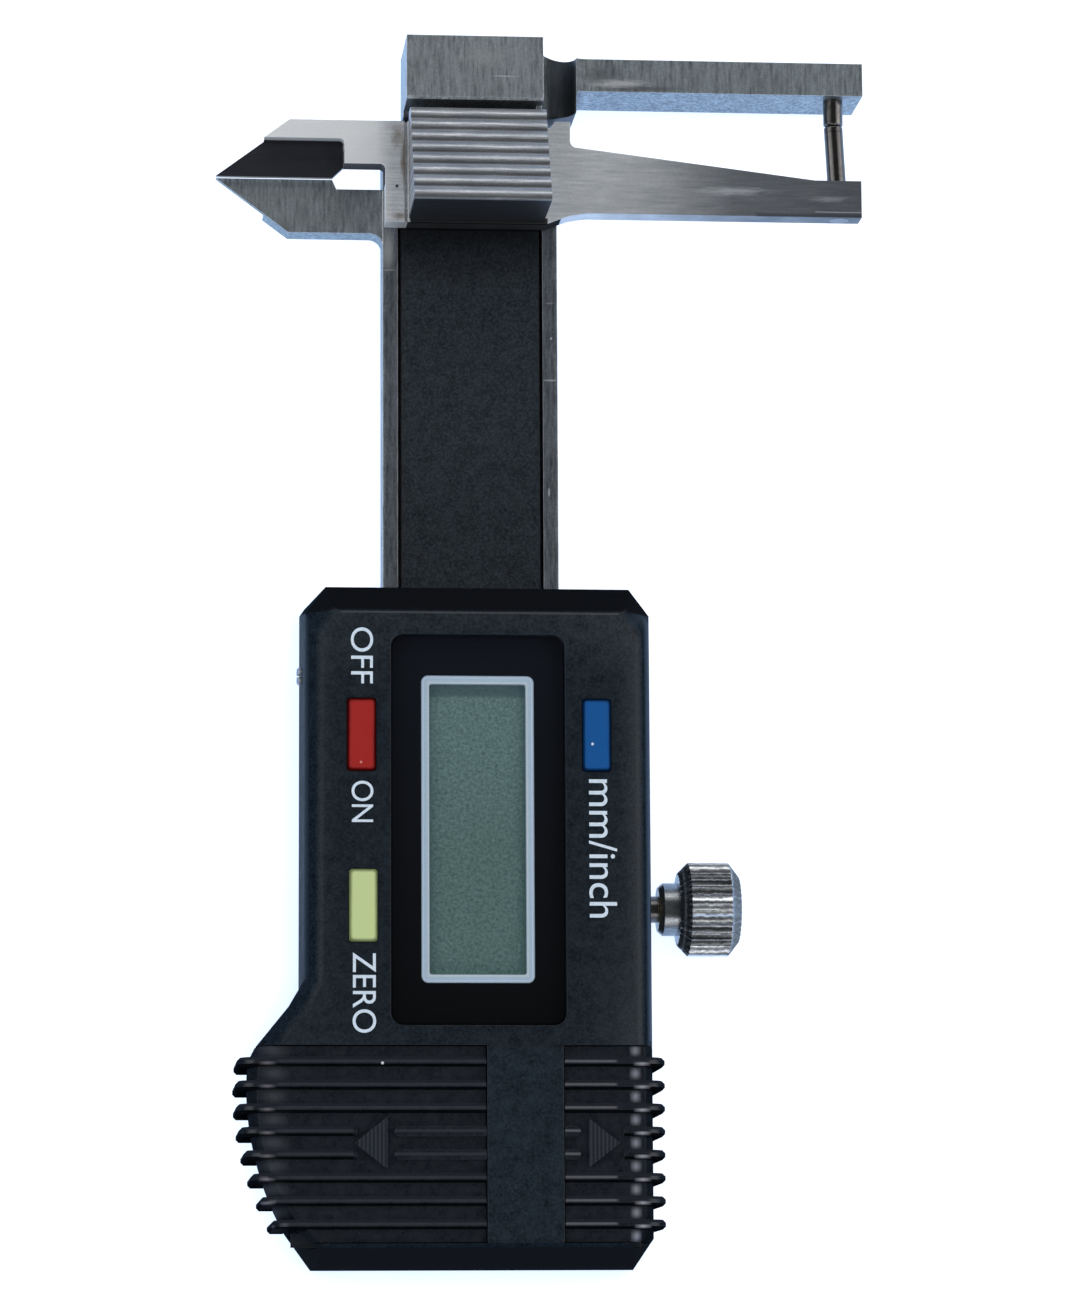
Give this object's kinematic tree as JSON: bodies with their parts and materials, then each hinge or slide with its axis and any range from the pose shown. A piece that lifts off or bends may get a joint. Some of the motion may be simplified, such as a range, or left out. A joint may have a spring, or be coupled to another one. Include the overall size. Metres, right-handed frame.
{
  "type": "digital thickness gauge",
  "caption": "Pocket sliding gauge with a steel beam, inside nibs, outside arms with pins, a ribbed thumb pad, a display housing with buttons and a knurled lock screw.",
  "frame": {"origin": "on the flat rear face of the housing, on the beam's centre line and halfway along the housing", "axes": "+Y along the beam towards the jaws, +X towards the lock screw and the outside arms, +Z out of the display"},
  "size_m": [0.0594, 0.1117, 0.0168],
  "materials": {
    "frame_steel": "matt dark ground steel",
    "jaw_steel": "ground steel with fine lines",
    "pin_steel": "hardened dark pin",
    "bar_steel": "ground steel",
    "knob_steel": "turned and knurled, bright",
    "screw_steel": "small screws",
    "housing_plastic": "black moulded plastic",
    "rear_paint": "black painted steel",
    "window_glass": "clear window with a dark border",
    "lcd_silver": "silver display frame",
    "lcd_glass": "grey-green display",
    "black_mask": "black",
    "connector_rubber": "striped conducting rubber",
    "board_green": "green circuit board",
    "chip_black": "black",
    "cell_steel": "nickel plated can",
    "contact_brass": "gilt contacts",
    "brass": "brass",
    "scale_film": "black film",
    "red_plastic": "red",
    "yellow_plastic": "pale yellow",
    "blue_plastic": "blue",
    "spring_rubber": "grey rubber"
  },
  "bodies": {
    "frame": {"main_frame": "frame_steel", "upper_anvil_pin": "pin_steel", "front_housing": "housing_plastic", "rear_plate": "rear_paint", "rear_plate_screws": "screw_steel", "frame_screws": "screw_steel", "board_screws": "screw_steel", "gib_screw": "screw_steel", "display_window": "window_glass", "lcd_frame": "lcd_silver", "lcd_panel": "lcd_glass", "lcd_holder": "black_mask", "lcd_connectors": "connector_rubber", "circuit_board": "board_green", "controller_chip": "chip_black", "button_switches": "chip_black", "battery": "cell_steel", "battery_contact_plus": "contact_brass", "battery_contact_minus": "contact_brass", "data_port_contacts": "contact_brass", "gib_strip": "brass", "lock_bushing": "brass", "spring_on_off": "spring_rubber", "spring_zero": "spring_rubber", "spring_unit": "spring_rubber"},
    "slider": {"slide_bar": "bar_steel", "scale_strip": "scale_film", "slider_jaw": "jaw_steel", "thumb_pad": "jaw_steel", "thumb_pad_screws": "screw_steel", "lower_anvil_pin": "pin_steel"},
    "button_on_off": {"button_on_off": "red_plastic"},
    "button_zero": {"button_zero": "yellow_plastic"},
    "button_unit": {"button_unit": "blue_plastic"},
    "lock_screw": {"lock_screw": "knob_steel"},
    "lock_shoe": {"lock_shoe": "brass"},
    "battery_cover": {"battery_cover": "housing_plastic"},
    "data_port_cover": {"data_port_cover": "housing_plastic"}
  },
  "joints": [
    {"name": "jaw_slide", "type": "slide", "parent": "frame", "child": "slider", "axis": [0, -1, 0], "range_m": [0, 0.025]},
    {"name": "press_on_off", "type": "slide", "parent": "frame", "child": "button_on_off", "axis": [0, 0, -1], "range_m": [0, 0.0005], "stiffness_N_per_m": 1000, "springref_m": -0.0003, "deforming": ["spring_on_off"]},
    {"name": "press_zero", "type": "slide", "parent": "frame", "child": "button_zero", "axis": [0, 0, -1], "range_m": [0, 0.0005], "stiffness_N_per_m": 1000, "springref_m": -0.0003, "deforming": ["spring_zero"]},
    {"name": "press_unit", "type": "slide", "parent": "frame", "child": "button_unit", "axis": [0, 0, -1], "range_m": [0, 0.0005], "stiffness_N_per_m": 1000, "springref_m": -0.0003, "deforming": ["spring_unit"]},
    {"name": "lock_turn", "type": "hinge", "parent": "frame", "child": "lock_screw", "pos_m": [0.0193, 0.0022, 0.0047], "axis": [-1, 0, 0], "range_deg": [0, 200]},
    {"name": "shoe_push", "type": "slide", "parent": "frame", "child": "lock_shoe", "axis": [-1, 0, 0], "range_m": [0, 0.0003]},
    {"name": "battery_cover_slide", "type": "slide", "parent": "frame", "child": "battery_cover", "axis": [-1, 0, 0], "range_m": [0, 0.016]},
    {"name": "data_port_cover_slide", "type": "slide", "parent": "frame", "child": "data_port_cover", "axis": [1, 0, 0], "range_m": [0, 0.008]}
  ],
  "couplings": [
    {"joint": "shoe_push", "follows": "lock_turn", "m_per_rad": 0.0000716}
  ]
}
